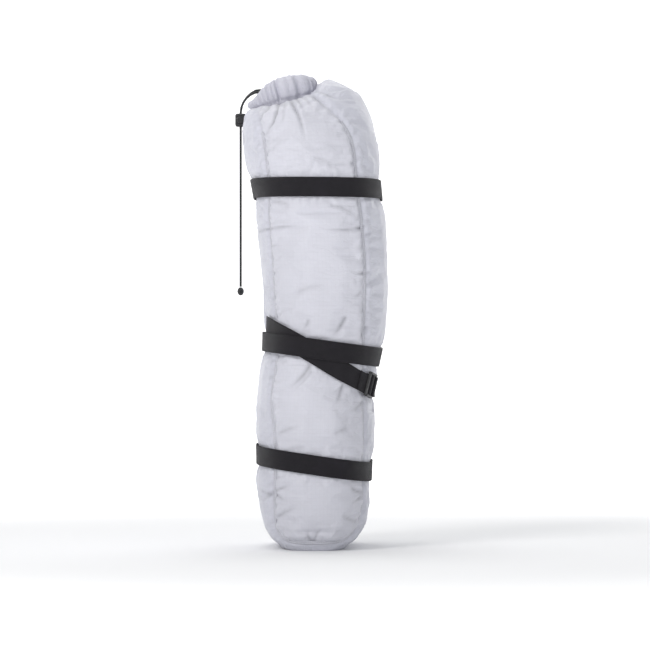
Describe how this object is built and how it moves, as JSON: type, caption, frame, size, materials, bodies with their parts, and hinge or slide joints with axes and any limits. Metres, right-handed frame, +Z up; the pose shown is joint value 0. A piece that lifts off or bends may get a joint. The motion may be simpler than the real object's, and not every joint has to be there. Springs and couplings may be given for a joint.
{
  "type": "compression sack",
  "caption": "Full compression sack standing upright, with a gathered drawcord collar, three buckled girth straps and a diagonal strap with a ladder lock.",
  "frame": {"origin": "centre of the flat base on which the sack stands, midway between its two side panels", "axes": "+Z up along the sack's height, -Y out of the side panel that faces the viewer, +X to the viewer's right"},
  "size_m": [0.1935, 0.2719, 0.6181],
  "materials": {
    "ripstop": "satin coated ripstop nylon",
    "binding": "matt woven tape",
    "webbing": "matt woven webbing",
    "cord": "matt braided cord",
    "moulding": "fine moulded texture",
    "eyelet": "smooth",
    "spring": "bright wire",
    "filling": "soft packed fabric"
  },
  "bodies": {
    "sack": {"packed_load": "filling", "side_panel_front": "ripstop", "side_panel_back": "ripstop", "gusset_panel": "ripstop", "seam_binding_front": "binding", "seam_binding_back": "binding", "collar": "ripstop", "cord_eyelet": "eyelet", "drawcord": "cord", "drawcord_tail_front": "cord", "drawcord_tail_rear": "cord", "cord_knot": "cord", "upper_strap": "webbing", "middle_strap": "webbing", "lower_strap": "webbing", "diagonal_strap": "webbing", "ladder_anchor": "webbing", "upper_buckle_housing": "moulding", "middle_buckle_housing": "moulding", "lower_buckle_housing": "moulding"},
    "upper_plug": {"upper_buckle_plug": "moulding"},
    "middle_plug": {"middle_buckle_plug": "moulding"},
    "lower_plug": {"lower_buckle_plug": "moulding"},
    "cord_lock": {"cord_lock_body": "moulding", "cord_lock_spring": "spring"},
    "cord_lock_button": {"cord_lock_button": "moulding"},
    "ladder_lock": {"ladder_lock": "moulding"}
  },
  "joints": [
    {"name": "upper_buckle_release", "type": "slide", "parent": "sack", "child": "upper_plug", "axis": [1, 0, -0.007], "range_m": [0, 0.03], "deforming": ["upper_strap"]},
    {"name": "middle_buckle_release", "type": "slide", "parent": "sack", "child": "middle_plug", "axis": [0.9895, 0, -0.1444], "range_m": [0, 0.03], "deforming": ["middle_strap"]},
    {"name": "lower_buckle_release", "type": "slide", "parent": "sack", "child": "lower_plug", "axis": [0.9882, 0, -0.153], "range_m": [0, 0.03], "deforming": ["lower_strap"]},
    {"name": "cord_lock_travel", "type": "slide", "parent": "sack", "child": "cord_lock", "axis": [0, 0, -1], "range_m": [0, 0.19]},
    {"name": "cord_lock_press", "type": "slide", "parent": "cord_lock", "child": "cord_lock_button", "axis": [0, 1, 0], "range_m": [0, 0.004], "stiffness_N_per_m": 1200, "springref_m": -0.002, "deforming": ["cord_lock_spring"]},
    {"name": "ladder_lock_tilt", "type": "hinge", "parent": "sack", "child": "ladder_lock", "pos_m": [0.07449, -0.08089, 0.20944], "axis": [0.2409, 0.1077, 0.9646], "range_deg": [0, 35], "deforming": ["diagonal_strap", "ladder_anchor"]}
  ]
}
